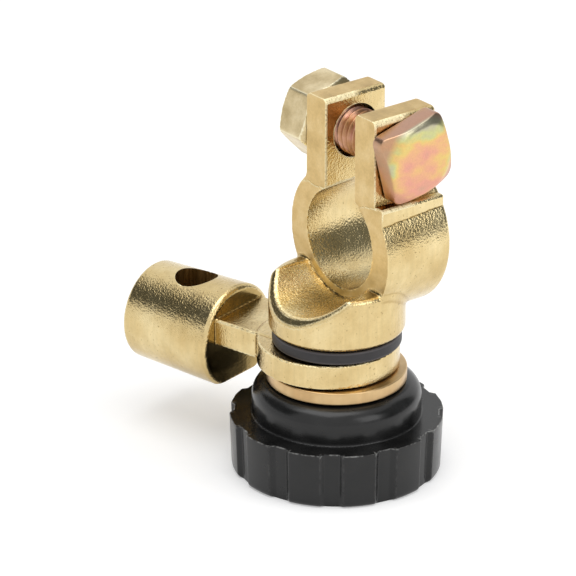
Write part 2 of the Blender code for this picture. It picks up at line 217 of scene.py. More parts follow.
def mesh_object(name, points, quads, caps=(), sharp=35.0):
    """A smooth object from points in millimetres, quads, and rows that close an end."""
    loops = [np.asarray(quads, dtype=np.int32).ravel()]
    totals = [np.full(len(quads), 4, dtype=np.int32)]
    for cap in caps:
        loops.append(np.asarray(cap, dtype=np.int32))
        totals.append(np.array([len(cap)], dtype=np.int32))
    loops = np.concatenate(loops)
    totals = np.concatenate(totals)
    starts = np.concatenate(([0], np.cumsum(totals)[:-1])).astype(np.int32)
    mesh = bpy.data.meshes.new(name)
    mesh.vertices.add(len(points))
    mesh.vertices.foreach_set("co", (np.asarray(points) * MM).astype(np.float32).ravel())
    mesh.loops.add(len(loops))
    mesh.loops.foreach_set("vertex_index", loops)
    mesh.polygons.add(len(totals))
    mesh.polygons.foreach_set("loop_start", starts)
    mesh.polygons.foreach_set("loop_total", totals)
    mesh.update(calc_edges=True)
    mesh.validate()
    mesh.shade_smooth()
    mesh.set_sharp_from_angle(angle=math.radians(sharp))
    made = bpy.data.objects.new(name, mesh)
    bpy.context.scene.collection.objects.link(made)
    return made


def note_edges(made, bend):
    """Store how far each point stands out, which the materials read as edge."""
    layer = made.data.attributes.new("edge", "FLOAT", "POINT")
    layer.data.foreach_set("value", bend.astype(np.float32))


def on_axis(axis, radius, angle, height, centre):
    """Points at a radius and angle about an axis, at a height along it."""
    a = radius * np.cos(angle)
    b = radius * np.sin(angle)
    h = np.broadcast_to(height, a.shape)
    points = (h, a, b) if axis == "X" else (a, b, h)
    return np.stack(points, axis=-1) + np.asarray(centre)


def turn_rate(before, here, after):
    """How sharply a line of points turns left at each point, in radians a millimetre."""
    enter = here - before
    leave = after - here
    cross = enter[..., 0] * leave[..., 1] - enter[..., 1] * leave[..., 0]
    along = (enter * leave).sum(-1)
    length = (np.linalg.norm(enter, axis=-1) + np.linalg.norm(leave, axis=-1)) / 2
    shortest = 0.05
    return np.arctan2(cross, along) / np.maximum(length, shortest)


def turned_bend(radius, height, angle):
    """How far a turned surface stands out, about 1 on an edge and -1 in a corner.

    It adds the turn of the outline up a column to the turn round a row.
    """
    outline = np.stack((radius, height), -1)
    upward = turn_rate(np.roll(outline, 1, 0), outline, np.roll(outline, -1, 0))
    upward[[0, -1]] = 0.0
    ring = np.stack((radius * np.cos(angle), radius * np.sin(angle)), -1)
    around = turn_rate(np.roll(ring, 1, 1), ring, np.roll(ring, -1, 1))
    return np.clip((upward + around) / EDGE_BEND, -1.0, 1.0)


def turned(name, radius, height, axis="Z", turn=0.0, centre=(0.0, 0.0, 0.0),
           bored=False, sharp=35.0):
    """A surface of rows around an axis: radius and height per row and angle.

    A bored surface closes on itself, and any other is closed by its end rows.
    Rows run so that the outside is on the right: up outside, down inside.
    """
    rows, columns = radius.shape
    angle = np.linspace(0.0, TAU, columns, endpoint=False)[None, :] + turn
    points = on_axis(axis, radius, angle, height, centre).reshape(-1, 3)
    index = np.arange(rows * columns).reshape(rows, columns)
    low = index if bored else index[:-1]
    high = np.roll(index, -1, axis=0) if bored else index[1:]
    quads = np.stack((low, np.roll(low, -1, 1), np.roll(high, -1, 1), high), -1)
    caps = () if bored else (index[0][::-1], index[-1])
    made = mesh_object(name, points, quads.reshape(-1, 4), caps, sharp)
    note_edges(made, turned_bend(radius, height, angle).ravel())
    return made


def stacked(rows, columns):
    """Radius and height grids from rows, each a radius and a height or one a column."""
    radius = np.stack([np.broadcast_to(r, columns) for r, _ in rows])
    height = np.stack([np.broadcast_to(h, columns) for _, h in rows])
    return radius, height


def rounding(centre_r, centre_h, size, start, end, steps):
    """Rows along part of a circle, from and to angles in degrees from outwards."""
    lean = np.radians(np.linspace(start, end, steps + 1))
    return [(centre_r + size * math.cos(a), centre_h + size * math.sin(a)) for a in lean]


def eased(before, corner, after, steps):
    """Rows of a curve from before to after that bends towards the corner.

    Each end and the corner are a radius and a height, or arrays of them.
    """
    rows = []
    for t in np.linspace(0.0, 1.0, steps + 1):
        near, middle, far = (1.0 - t) ** 2, 2.0 * t * (1.0 - t), t * t
        rows.append(tuple(near * p + middle * q + far * r
                          for p, q, r in zip(before, corner, after)))
    return rows


# Distance fields of the castings

def meet(a, b, edge):
    """What lies in both forms, the edge between them rounded."""
    corner = np.hypot(np.maximum(a + edge, 0.0), np.maximum(b + edge, 0.0))
    return np.minimum(np.maximum(a, b), -edge) + corner


def join(a, b, fillet):
    """What lies in either form, the corner between them filled by a fillet."""
    corner = np.hypot(np.maximum(fillet - a, 0.0), np.maximum(fillet - b, 0.0))
    return np.maximum(np.minimum(a, b), fillet) - corner


def beyond(x, y, start, end):
    """Distance to the right of the line from a start to an end."""
    run_x = end[0] - start[0]
    run_y = end[1] - start[1]
    return ((x - start[0]) * run_y - (y - start[1]) * run_x) / np.hypot(run_x, run_y)


def blended(amount, start, end):
    """0 before a start, 1 after an end, and an even S between."""
    share = np.clip((amount - start) / (end - start), 0.0, 1.0)
    return share * share * (3.0 - 2.0 * share)


def scoop_field(x, y, z):
    """Distance out from the scoop's wall, which spreads towards +X and the front."""
    ahead = np.maximum(RING_FRONT - y, 0.0)
    narrowed = np.where(x > 0.0, x / (1.0 + SCOOP_SPREAD * ahead), x)
    return np.hypot(narrowed, z - POST_AXIS) - (SCOOP_RADIUS + SCOOP_DRAFT * ahead)


def clamp_field(x, y, z):
    """Distance from the clamp's surface, negative in the metal.

    Ring, ears, ledge and shoulder are one outline across the post axis,
    carried along it. The outline grows towards the back by the casting's
    draft, while the ring's centre rises to the post axis. The base is a round
    block, hollowed in front of the ring by a scoop about the post axis. The
    scoop's rim has a bevel that is narrower towards +X, and the block's top
    edge is softer towards -X. A tight fillet joins the ring to the scoop, and
    a wider one joins it to the block's top.
    """
    w = z - POST_AXIS
    back = np.clip((y - RING_FRONT) / (RING_BACK - RING_FRONT), 0.0, 1.0)
    radius = RING_RADIUS + RING_DRAFT * back
    centre = POST_AXIS - RING_DROP * (1.0 - back)
    ring = np.hypot(x, z - centre) - radius
    ears = np.maximum(meet(np.abs(x) - EAR_OUTER, z - EAR_TOP, EAR_ROUNDING), -w)
    wall = x - (LEDGE_END + LEDGE_DRAFT * back)
    ledge = np.maximum(meet(wall, z - LEDGE_TOP, LEDGE_ROUNDING), np.maximum(-w, -x))
    foot_x = -radius * math.cos(SHOULDER_ANGLE)
    foot_z = centre + radius * math.sin(SHOULDER_ANGLE)
    slope = beyond(x, z, (-EAR_OUTER, LEDGE_TOP), (foot_x, foot_z))
    shoulder = np.maximum(slope, np.maximum(foot_z - z, x))
    outline = join(np.minimum(ring, np.minimum(ledge, shoulder)), ears, EAR_FILLET)
    slot = np.maximum(np.abs(x) - EAR_INNER, SLOT_BOTTOM - z)
    outline = meet(outline, -slot, SLOT_EDGE)
    outline = meet(outline, y - RING_BACK, BACK_EDGE)
    ear_foot = np.interp(x, EAR_FOOT_X, EAR_FOOT_Z)
    above = blended(z, ear_foot - EAR_FOOT_HALF, ear_foot + EAR_FOOT_HALF)
    clamp = meet(outline, RING_FRONT + EAR_SET_BACK * above - y, MILLED_EDGE)

    rim = np.hypot(x, y) - BASE_RADIUS
    scoop = scoop_field(x, y, z)
    width = SCOOP_BEVEL - SCOOP_BEVEL_LOSS * blended(x, 2.0, 7.0)
    bevel = (rim - scoop + width) / math.sqrt(2.0)
    top_edge = BASE_TOP_EDGE + BASE_TOP_SOFTENING * blended(-x, 0.0, 6.0)
    block = np.maximum(meet(rim, z - BASE_TOP, top_edge),
                       np.maximum(meet(rim, bevel, RIM_EDGE), meet(-scoop, bevel, BEVEL_EDGE)))
    block = np.maximum(block, meet(z - BASE_TOP, -scoop, SCOOP_TOP_EDGE))
    block = np.maximum(block, meet(rim, BASE_BOTTOM - z, BASE_EDGE))
    fillet = SCOOP_FILLET * (1.0 + blended(np.abs(x), 7.0, 9.0))
    body = join(block, clamp, fillet)

    post = np.hypot(x, w) - (POST_RADIUS + POST_TAPER * (y - RING_FRONT))
    bolt = np.hypot(y - BOLT_MIDDLE, z - BOLT_AXIS) - BOLT_HOLE_RADIUS
    stud = np.maximum(np.hypot(x, y) - STUD_BORE, z - (STUD_TOP + RUNNING_GAP))
    return np.maximum(meet(body, -post, POST_EDGE), -np.minimum(bolt, stud))


def lug_field(x, y, z):
    """Distance from the lug's surface, negative in the metal.

    A flat ring and neck meet a barrel that narrows towards its mouth and is
    flat underneath. The bore, the sight hole and the ring's hole are cut.
    """
    a = x * math.cos(LUG_HEADING) + y * math.sin(LUG_HEADING)
    s = y * math.cos(LUG_HEADING) - x * math.sin(LUG_HEADING)
    ring = np.hypot(a - LUG_RING_SHIFT, s) - LUG_RING_RADIUS
    ring = meet(meet(ring, z - LUG_TOP, LUG_TOP_EDGE), LUG_BOTTOM - z, LUG_UNDER_EDGE)
    neck_floor = LUG_BOTTOM - NECK_FOOT_DEPTH * (a > NECK_FOOT_START)
    neck = meet(np.abs(s) - NECK_HALF_WIDTH, z - LUG_TOP, NECK_TOP_EDGE)
    neck = meet(neck, neck_floor - z, LUG_UNDER_EDGE)
    neck = np.maximum(neck, np.maximum(-a, a - NECK_END))
    plate = join(ring, neck, NECK_FILLET)
    share = (a - BARREL_START) / (BARREL_END - BARREL_START)
    out = np.hypot(s, z - BARREL_AXIS)
    barrel = out - (BARREL_RADIUS - BARREL_TAPER * share)
    barrel = meet(barrel, BARREL_START - a, BARREL_START_EDGE)
    barrel = meet(barrel, a - BARREL_END, BARREL_END_EDGE)
    barrel = meet(barrel, (BARREL_AXIS - BARREL_FLAT) - z, LUG_UNDER_EDGE)
    body = join(plate, barrel, BARREL_FILLET)
    bore = np.maximum(out - CABLE_BORE_RADIUS, BARREL_END - CABLE_BORE_DEPTH - a)
    mouth = out - CABLE_MOUTH_RADIUS + np.maximum(BARREL_END - a, 0.0)
    sight = np.maximum(np.hypot(a - SIGHT_HOLE_PLACE, s) - SIGHT_HOLE_RADIUS, BARREL_AXIS - z)
    hole = np.hypot(a, s) - LUG_HOLE_RADIUS
    return np.maximum(body, -np.minimum(np.minimum(bore, mouth), np.minimum(sight, hole)))


def slope_of(field, points):
    """Unit gradient of a field at points, from differences either side."""
    step = 0.002
    slope = np.stack([field(*(points + shift).T) - field(*(points - shift).T)
                      for shift in np.eye(3) * step], axis=-1)
    return slope / np.maximum(np.linalg.norm(slope, axis=1, keepdims=True), 1e-12)


def bend_of(field, points):
    """How far a surface stands out, about 1 on an edge and -1 in a corner.

    It is the sum of the field's second differences along the three axes,
    which is one over the radius of a rounding.
    """
    step = 0.18
    total = -6.0 * field(*points.T)
    for shift in np.eye(3) * step:
        total += field(*(points + shift).T) + field(*(points - shift).T)
    return np.clip(total / step**2 / EDGE_BEND, -1.0, 1.0)


def cast_form(name, field, low, high):
    """The surface where a distance field is zero, on a grid of cubic cells.

    Each grid edge that crosses the surface gives a point and a slope. Each
    cell takes the point nearest to all the planes that its edges give, so
    flat faces stay flat and edges stay crisp, and each crossed edge becomes
    a quad between its four cells.
    """
    sides = [np.arange(a - CELL, b + 2 * CELL, CELL) for a, b in zip(low, high)]
    origin = np.array([side[0] for side in sides])
    value = field(*np.meshgrid(*sides, indexing="ij"))
    shape = value.shape
    inside = value < 0
    planes = []
    faces = []
    for axis in range(3):
        start = np.take(inside, range(shape[axis] - 1), axis)
        end = np.take(inside, range(1, shape[axis]), axis)
        at = np.argwhere(start != end)
        unit, u, v = (np.eye(3, dtype=int)[(axis + k) % 3] for k in range(3))
        first = value[tuple(at.T)]
        last = value[tuple((at + unit).T)]
        lower = np.zeros(len(at))
        upper = np.ones(len(at))
        share = first / (first - last)
        for _ in range(6):
            here = field(*(origin + CELL * (at + share[:, None] * unit)).T)
            same = (here < 0) == (first < 0)
            lower = np.where(same, share, lower)
            upper = np.where(same, upper, share)
            share = (lower + upper) / 2
        point = origin + CELL * (at + share[:, None] * unit)
        around = np.stack((at - u - v, at - v, at, at - u), axis=1)
        cells = np.ravel_multi_index(tuple(np.moveaxis(around, -1, 0)), shape)
        leaving = first < 0
        faces.append(np.where(leaving[:, None], cells, cells[:, ::-1]))
        planes.append((cells, point, slope_of(field, point)))
    used, index = np.unique(np.concatenate(faces), return_inverse=True)
    quads = index.reshape(-1, 4)
    where = np.searchsorted(used, np.concatenate([c for c, _, _ in planes])).ravel()
    point = np.repeat(np.concatenate([p for _, p, _ in planes]), 4, axis=0)
    slope = np.repeat(np.concatenate([n for _, _, n in planes]), 4, axis=0)

    def gathered(amount):
        """Sum of an amount over the planes of each cell."""
        return np.bincount(where, weights=amount, minlength=len(used))

    count = gathered(np.ones(len(where)))
    middle = np.stack([gathered(point[:, i]) for i in range(3)], -1) / count[:, None]
    offset = (slope * (point - middle[where])).sum(axis=1)
    pull = np.stack([gathered(slope[:, i] * offset) for i in range(3)], -1)
    lean = np.empty((len(used), 3, 3))
    for i in range(3):
        for j in range(3):
            lean[:, i, j] = gathered(slope[:, i] * slope[:, j])
    # A slight hold on the middle, where the planes leave a way open
    lean += 0.06 * np.eye(3)
    place = middle + np.linalg.solve(lean, pull[:, :, None])[:, :, 0]
    corner = origin + CELL * np.stack(np.unravel_index(used, shape), -1)
    place = np.clip(place, corner, corner + CELL)
    made = mesh_object(name, place, quads, sharp=32.0)
    note_edges(made, bend_of(field, place))
    return made


# Materials

def linear(code):
    """An sRGB hex colour as linear RGBA."""
    channels = []
    for i in (1, 3, 5):
        part = int(code[i:i + 2], 16) / 255
        channels.append(part / 12.92 if part <= 0.04045 else ((part + 0.055) / 1.055) ** 2.4)
    return (*channels, 1.0)


def feed(tree, node, inputs):
    """Give a node's inputs their values and links.

    An input is named or numbered. It takes a value, another node's socket, or
    a node, which stands for its first working output.
    """
    for key, source in inputs.items():
        named = [socket for socket in node.inputs if socket.enabled and socket.name == key]
        target = named[0] if named else node.inputs[key]
        if isinstance(source, bpy.types.Node):
            source = next(socket for socket in source.outputs if socket.enabled)
        if isinstance(source, bpy.types.NodeSocket):
            tree.links.new(source, target)
        else:
            target.default_value = source


def add(tree, kind, inputs=None, stops=(), **settings):
    """One node with its settings, its inputs and, for a ramp, its hex colour stops."""
    made = tree.nodes.new("ShaderNode" + kind)
    for key, value in settings.items():
        setattr(made, key, value)
    feed(tree, made, inputs or {})
    if stops:
        elements = made.color_ramp.elements
        while len(elements) < len(stops):
            elements.new(0.5)
        for element, (position, code) in zip(elements, stops):
            element.position = position
            element.color = linear(code)
    return made


def per_mm(size):
    """Noise scale on Object coordinates whose features are this many millimetres."""
    return 1000.0 / size


def new_material(name, metallic, roughness):
    """A material, its tree, its Principled shader and its Object coordinates."""
    made = bpy.data.materials.new(name)
    made.use_nodes = True
    tree = made.node_tree
    shader = tree.nodes["Principled BSDF"]
    feed(tree, shader, {"Metallic": metallic, "Roughness": roughness})
    place = add(tree, "TexCoord").outputs["Object"]
    return made, tree, shader, place


def from_noise(pattern, low, high):
    """A map range's inputs: the band of a noise's values goes to two numbers."""
    return {"Value": pattern, "From Min": 0.3, "From Max": 0.7, "To Min": low, "To Max": high}


def from_place(coordinate, start, end, low=0.0, high=1.0):
    """A map range's inputs: two places in millimetres go to two numbers."""
    return {"Value": coordinate, "From Min": start * MM, "From Max": end * MM,
            "To Min": low, "To Max": high}


def tinted(tree, colour, pattern, low, high):
    """A colour made darker or brighter by a noise, between two shares."""
    share = add(tree, "MapRange", from_noise(pattern, low, high))
    return add(tree, "VectorMath", {0: colour, 1: share}, operation="MULTIPLY")


def marked(tree, start, end):
    """The pieces' edge attribute, mapped from a start and an end to 0 and 1."""
    bend = add(tree, "Attribute", attribute_name="edge").outputs["Fac"]
    return add(tree, "MapRange", {"Value": bend, "From Min": start, "From Max": end})


def limited(tree, amount, *ranges):
    """An amount times the share that each of the mapped ranges gives."""
    for mapped in ranges:
        share = add(tree, "MapRange", mapped)
        amount = add(tree, "Math", {0: amount, 1: share}, operation="MULTIPLY")
    return amount


def cast_brass(name, dark, middle, light, relief, dull):
    """Bright-dipped cast brass: pale gold over khaki, sand grain, faint upright streaks.

    Concave corners are browner. The edges are pale and matt, partly rubbed by
    handling and partly a painted highlight, on the front of the ears and the
    ledge, and in specks along the scoop's rim.
    """
    made, tree, shader, place = new_material(name, 1.0, 0.2)
    patches = add(tree, "TexNoise", {"Vector": place, "Scale": per_mm(7.0),
                                     "Detail": 4.0, "Roughness": 0.6})
    colour = add(tree, "ValToRGB", {"Fac": patches},
                 [(0.32, dark), (0.5, middle), (0.68, light)])
    drawn = add(tree, "Mapping", {"Vector": place, "Scale": (1.0, 1.0, 0.07)})
    streaks = add(tree, "TexNoise", {"Vector": drawn, "Scale": per_mm(0.7)})
    colour = tinted(tree, colour, streaks, 0.95, 1.04)
    # Grit and grain of the sand mould, drawn a little coarse so that they show
    sand = add(tree, "TexNoise", {"Vector": place, "Scale": per_mm(0.26), "Roughness": 0.7})
    grain = add(tree, "TexNoise", {"Vector": place, "Scale": per_mm(0.36), "Detail": 1.0})
    colour = tinted(tree, colour, sand, 0.96, 1.03)
    holes = add(tree, "TexNoise", {"Vector": place, "Scale": per_mm(0.5), "Detail": 1.0})
    pits = add(tree, "MapRange", {"Value": holes, "From Min": 0.3, "From Max": 0.24,
                                  "To Max": 0.6})
    wear_and_highlight_noise = add(tree, "TexNoise", {"Vector": place, "Scale": per_mm(0.5)})
    specks = add(tree, "TexNoise", {"Vector": place, "Scale": per_mm(0.7)})
    sides = add(tree, "SeparateXYZ", {"Vector": place}).outputs
    # Pale matt edges on the front of the ears and the ledge: partly rubbed by handling, partly a
    # painted highlight
    wear_and_highlight = limited(
        tree, marked(tree, 0.2, 0.5),
        from_noise(wear_and_highlight_noise, 0.5, 1.1),
        from_place(sides["Y"], 8.0, 6.5),
        from_place(sides["Z"], 46.5, 48.0))
    # Specks of painted highlight on convex edges low at the front, along the scoop's rim and other
    # low front edges
    rim = limited(
        tree, marked(tree, 0.75, 1.0),
        from_noise(specks, 0.1, 1.0),
        from_place(sides["Z"], 34.6, 34.2, high=0.75),
        from_place(sides["Y"], 0.1, -0.3))
    wear_and_highlight = add(tree, "Math", {0: wear_and_highlight, 1: rim}, operation="MAXIMUM")
    # Concave corners are coloured browner
    for share, code in ((pits, "#8A7040"), (marked(tree, -0.2, -0.9), "#A98C55"),
                        (wear_and_highlight, "#FFF1C2")):
        colour = add(tree, "Mix", {"Factor": share, "A": colour, "B": linear(code)},
                     data_type="RGBA")
    # The pale edges turn near white, less metallic and rougher, which lightens them further as part
    # of the painted highlight
    metal = add(tree, "MapRange", {"Value": wear_and_highlight, "To Min": 1.0, "To Max": 0.1})
    waves = add(tree, "TexNoise", {"Vector": place, "Scale": per_mm(3.0), "Detail": 1.0})
    normal = add(tree, "Bump", {"Height": waves, "Strength": 0.5, "Distance": 0.06 * MM})
    normal = add(tree, "Bump", {"Height": grain, "Strength": 0.9 * relief,
                                "Distance": 0.06 * MM, "Normal": normal})
    normal = add(tree, "Bump", {"Height": sand, "Strength": relief,
                                "Distance": 0.04 * MM, "Normal": normal})
    gloss = add(tree, "MapRange", from_noise(grain, 0.05 + dull, 0.1 + dull))
    gloss = add(tree, "Math", {0: wear_and_highlight, 1: 0.3, 2: gloss}, operation="MULTIPLY_ADD")
    feed(tree, shader, {"Base Color": colour, "Metallic": metal, "Roughness": gloss,
                        "Normal": normal})
    return made


def milled_brass():
    """Brass face milled flat: matt tan, faint stains and fine upright cutter marks."""
    made, tree, shader, place = new_material("milled_brass", 1.0, 0.42)
    stains = add(tree, "TexNoise", {"Vector": place, "Scale": per_mm(4.0),
                                    "Detail": 5.0, "Roughness": 0.65})
    colour = add(tree, "ValToRGB", {"Fac": stains},
                 [(0.3, "#C2A56D"), (0.5, "#D6B980"), (0.7, "#E3CA96")])
    grit = add(tree, "TexNoise", {"Vector": place, "Scale": per_mm(0.35)})
    colour = tinted(tree, colour, grit, 0.95, 1.03)
    wear_and_highlight_noise = add(tree, "TexNoise", {"Vector": place, "Scale": per_mm(1.2)})
    wear_and_highlight = limited(tree, marked(tree, 0.5, 1.0), from_noise(wear_and_highlight_noise, 0.0, 0.7))
    colour = add(tree, "Mix", {"Factor": wear_and_highlight, "A": colour, "B": linear("#EBD7A6")},
                 data_type="RGBA")
    # Cutter marks every 0.3 mm, coarser than the real feed so that they show
    drawn = add(tree, "Mapping", {"Vector": place, "Scale": (1.0, 1.0, 0.12)})
    lines = add(tree, "TexNoise", {"Vector": drawn, "Scale": per_mm(0.3)})
    normal = add(tree, "Bump", {"Height": lines, "Strength": 0.5, "Distance": 0.015 * MM})
    gloss = add(tree, "MapRange", from_noise(stains, 0.36, 0.48))
    feed(tree, shader, {"Base Color": colour, "Roughness": gloss, "Normal": normal})
    return made


def faced_brass():
    """Barrel's end faced on a lathe: smoother than the casting, with faint arcs."""
    made, tree, shader, place = new_material("faced_brass", 1.0, 0.17)
    stains = add(tree, "TexNoise", {"Vector": place, "Scale": per_mm(4.0), "Detail": 3.0})
    colour = add(tree, "ValToRGB", {"Fac": stains}, [(0.3, "#A08650"), (0.7, "#B89F68")])
    across = (math.sin(LUG_HEADING) / MM, -math.cos(LUG_HEADING) / MM, 0.0)
    side = add(tree, "VectorMath", {0: place, 1: across}, operation="DOT_PRODUCT")
    up = add(tree, "SeparateXYZ", {"Vector": place}).outputs["Z"]
    above = add(tree, "Math", {0: up, 1: 1.0 / MM, 2: -BARREL_AXIS}, operation="MULTIPLY_ADD")
    flat = add(tree, "CombineXYZ", {"X": side, "Y": above})
    out = add(tree, "VectorMath", {0: flat}, operation="LENGTH")
    # A tool mark every 0.35 mm, coarser than the real feed so that it shows
    rings = add(tree, "TexNoise", {"W": out, "Scale": 1.0 / 0.35}, noise_dimensions="1D")
    normal = add(tree, "Bump", {"Height": rings, "Strength": 0.6, "Distance": 0.02 * MM})
    feed(tree, shader, {"Base Color": colour, "Normal": normal})
    return made


def drilled_brass():
    """Drilled holes: dull brown gold, with streaks along the drill's way."""
    made, tree, shader, place = new_material("drilled_brass", 1.0, 0.5)
    drawn = add(tree, "Mapping", {"Vector": place, "Scale": (1.0, 1.0, 0.1)})
    streaks = add(tree, "TexNoise", {"Vector": drawn, "Scale": per_mm(0.8), "Detail": 3.0})
    colour = add(tree, "ValToRGB", {"Fac": streaks}, [(0.35, "#6E5228"), (0.65, "#A98550")])
    normal = add(tree, "Bump", {"Height": streaks, "Strength": 0.5, "Distance": 0.03 * MM})
    feed(tree, shader, {"Base Color": colour, "Normal": normal})
    return made


def turned_brass():
    """Fine turned brass: beige satin, with faint upright bands round its edge."""
    made, tree, shader, place = new_material("turned_brass", 1.0, 0.3)
    stains = add(tree, "TexNoise", {"Vector": place, "Scale": per_mm(5.0), "Detail": 3.0})
    colour = add(tree, "ValToRGB", {"Fac": stains}, [(0.35, "#C2A173"), (0.65, "#D6B98A")])
    upright = add(tree, "Mapping", {"Vector": place, "Scale": (1.0, 1.0, 0.04)})
    bands = add(tree, "TexNoise", {"Vector": upright, "Scale": per_mm(0.9), "Detail": 3.0})
    colour = tinted(tree, colour, bands, 0.95, 1.03)
    # Tool marks every 0.12 mm, about the real feed
    level = add(tree, "Mapping", {"Vector": place, "Scale": (0.02, 0.02, 1.0)})
    rings = add(tree, "TexNoise", {"Vector": level, "Scale": per_mm(0.12)})
    normal = add(tree, "Bump", {"Height": rings, "Strength": 0.5, "Distance": 0.02 * MM})
    feed(tree, shader, {"Base Color": colour, "Normal": normal})
    return made


def plated_nut():
    """Pale yellow zinc plate on a pressed nut: olive gold, satin, paler on its edges."""
    made, tree, shader, place = new_material("plated_nut", 1.0, 0.3)
    patches = add(tree, "TexNoise", {"Vector": place, "Scale": per_mm(5.0),
                                     "Detail": 4.0, "Roughness": 0.6})
    colour = add(tree, "ValToRGB", {"Fac": patches},
                 [(0.35, "#BDA97E"), (0.5, "#D3C096"), (0.68, "#EADAB4")])
    # Crystals of the plate, drawn coarse so that they show
    grit = add(tree, "TexNoise", {"Vector": place, "Scale": per_mm(0.3)})
    colour = tinted(tree, colour, grit, 0.94, 1.04)
    colour = add(tree, "Mix", {"Factor": marked(tree, 0.3, 1.0), "A": colour,
                               "B": linear("#F0E6C4")}, data_type="RGBA")
    dents = add(tree, "TexNoise", {"Vector": place, "Scale": per_mm(1.6)})
    normal = add(tree, "Bump", {"Height": dents, "Strength": 0.5, "Distance": 0.04 * MM})
    normal = add(tree, "Bump", {"Height": grit, "Strength": 0.6, "Distance": 0.02 * MM,
                                "Normal": normal})
    feed(tree, shader, {"Base Color": colour, "Normal": normal})
    return made


def yellow_zinc():
    """Yellow zinc chromate on a forged head: a thin film in pink, gold and green bands.

    The film is green and gold high on the face, pink below, and brown on the
    sides. Its bands shift towards green again round the face's rim.
    """
    made, tree, shader, place = new_material("yellow_zinc", 1.0, 0.3)
    drawn = add(tree, "Mapping", {"Vector": place, "Scale": (1.0, 0.55, 0.9),
                                  "Rotation": (0.0, 0.0, 0.4)})
    clouds = add(tree, "TexNoise", {"Vector": drawn, "Scale": per_mm(5.0),
                                    "Detail": 3.0, "Roughness": 0.6})
    centred = add(tree, "Mapping", {"Vector": place, "Location": (0.0, -BOLT_MIDDLE, -BOLT_AXIS),
                                    "Scale": (0.0, 1.0 / MM, 1.0 / MM)})
    out = add(tree, "VectorMath", {0: centred}, operation="LENGTH")
    rim = add(tree, "MapRange", {"Value": out, "From Min": 4.8, "From Max": 5.9,
                                 "To Min": 0.0, "To Max": -0.06})
    film = add(tree, "Math", {0: clouds, 1: 0.75, 2: rim}, operation="MULTIPLY_ADD")
    sides = add(tree, "SeparateXYZ", {"Vector": place}).outputs
    lower = add(tree, "MapRange",
                from_place(sides["Z"], BOLT_AXIS + 5.0, BOLT_AXIS - 5.0, 0.06, 0.26))
    film = add(tree, "Math", {0: film, 1: lower})
    colour = add(tree, "ValToRGB", {"Fac": film},
                 [(0.34, "#B9B39A"), (0.42, "#C6C68A"), (0.49, "#DDC076"),
                  (0.55, "#E0B080"), (0.64, "#DC9E8A"), (0.76, "#C9A088")])
    flank = add(tree, "MapRange",
                from_place(sides["X"], HEAD_SEAT + 3.6, HEAD_SEAT + 3.0, high=0.8))
    colour = add(tree, "Mix", {"Factor": flank, "A": colour, "B": linear("#BE8C76")},
                 data_type="RGBA")
    # Crystals of the film, drawn coarse so that they show
    grit = add(tree, "TexNoise", {"Vector": place, "Scale": per_mm(0.3)})
    colour = tinted(tree, colour, grit, 0.94, 1.04)
    dents = add(tree, "TexNoise", {"Vector": place, "Scale": per_mm(2.2)})
    normal = add(tree, "Bump", {"Height": dents, "Strength": 0.5, "Distance": 0.08 * MM})
    normal = add(tree, "Bump", {"Height": grit, "Strength": 0.6, "Distance": 0.02 * MM,
                                "Normal": normal})
    feed(tree, shader, {"Base Color": colour, "Normal": normal})
    return made


def rolled_thread():
    """Yellow zinc chromate on a rolled thread: darker, coppery, satin."""
    made, tree, shader, place = new_material("rolled_thread", 1.0, 0.3)
    film = add(tree, "TexNoise", {"Vector": place, "Scale": per_mm(2.5), "Detail": 3.0})
    colour = add(tree, "ValToRGB", {"Fac": film},
                 [(0.35, "#A97C54"), (0.5, "#B98A6A"), (0.65, "#C99A86")])
    grit = add(tree, "TexNoise", {"Vector": place, "Scale": per_mm(0.3)})
    normal = add(tree, "Bump", {"Height": grit, "Strength": 0.5, "Distance": 0.02 * MM})
    feed(tree, shader, {"Base Color": colour, "Normal": normal})
    return made


def black_plastic():
    """Moulded black phenolic: deep black, satin, faint flow lines and uneven gloss.

    Edges show grey specks, a painted highlight on the moulding flash, most
    along the flange's top.
    """
    made, tree, shader, place = new_material("black_plastic", 0.0, 0.3)
    feed(tree, shader, {"Specular IOR Level": 0.42})
    clouds = add(tree, "TexNoise", {"Vector": place, "Scale": per_mm(3.0), "Detail": 3.0})
    colour = add(tree, "ValToRGB", {"Fac": clouds}, [(0.3, "#101010"), (0.7, "#191919")])
    glint_noise = add(tree, "TexNoise", {"Vector": place, "Scale": per_mm(1.1),
                                   "Detail": 3.0, "Roughness": 0.7})
    up = add(tree, "SeparateXYZ", {"Vector": place}).outputs["Z"]
    # Grey specks on convex edges, most on the flange's top: a painted highlight on the moulding
    # flash
    specks = limited(
        tree, marked(tree, 0.4, 1.0),
        from_noise(glint_noise, -0.4, 1.0),
        from_place(up, FLANGE_TOP - 0.6, FLANGE_TOP - 0.2, low=0.12))
    colour = add(tree, "Mix", {"Factor": specks, "A": colour, "B": linear("#8C8C8A")},
                 data_type="RGBA")
    gloss = add(tree, "MapRange", from_noise(clouds, 0.18, 0.28))
    drawn = add(tree, "Mapping", {"Vector": place, "Scale": (1.0, 1.0, 0.03)})
    lines = add(tree, "TexNoise", {"Vector": drawn, "Scale": per_mm(0.5)})
    grain = add(tree, "TexNoise", {"Vector": place, "Scale": per_mm(0.3)})
    normal = add(tree, "Bump", {"Height": lines, "Strength": 0.3, "Distance": 0.02 * MM})
    normal = add(tree, "Bump", {"Height": grain, "Strength": 0.4, "Distance": 0.01 * MM,
                                "Normal": normal})
    feed(tree, shader, {"Base Color": colour, "Roughness": gloss, "Normal": normal})
    return made


